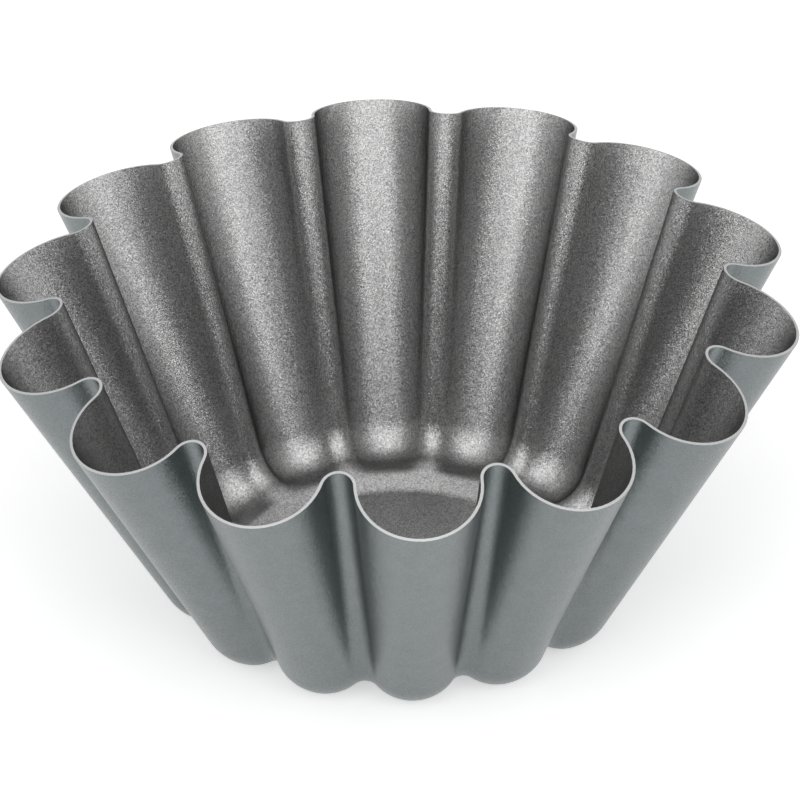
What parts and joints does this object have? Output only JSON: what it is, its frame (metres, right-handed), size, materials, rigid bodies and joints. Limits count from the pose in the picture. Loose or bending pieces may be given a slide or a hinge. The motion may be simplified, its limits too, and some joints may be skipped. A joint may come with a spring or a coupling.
{
  "type": "brioche mould",
  "caption": "Flared, deeply fluted cup for baking brioche: pressed steel with a non-stick lining inside, a lacquer coat outside and a bare cut rim.",
  "frame": {"origin": "middle of the flat disc's underside, on the surface that the mould stands on", "axes": "+Z is the mould's axis, from the table up to the open rim; +X runs through the middle of a lobe"},
  "size_m": [0.18, 0.1758, 0.0787],
  "materials": {
    "bare_steel": "bare cut edge of cold-rolled sheet",
    "nonstick": "dark metallic non-stick coat with fine flake",
    "lacquer": "satin blue-grey baked lacquer"
  },
  "bodies": {
    "root": {"steel_shell": "bare_steel", "nonstick_lining": "nonstick", "outer_coat": "lacquer"}
  },
  "joints": []
}
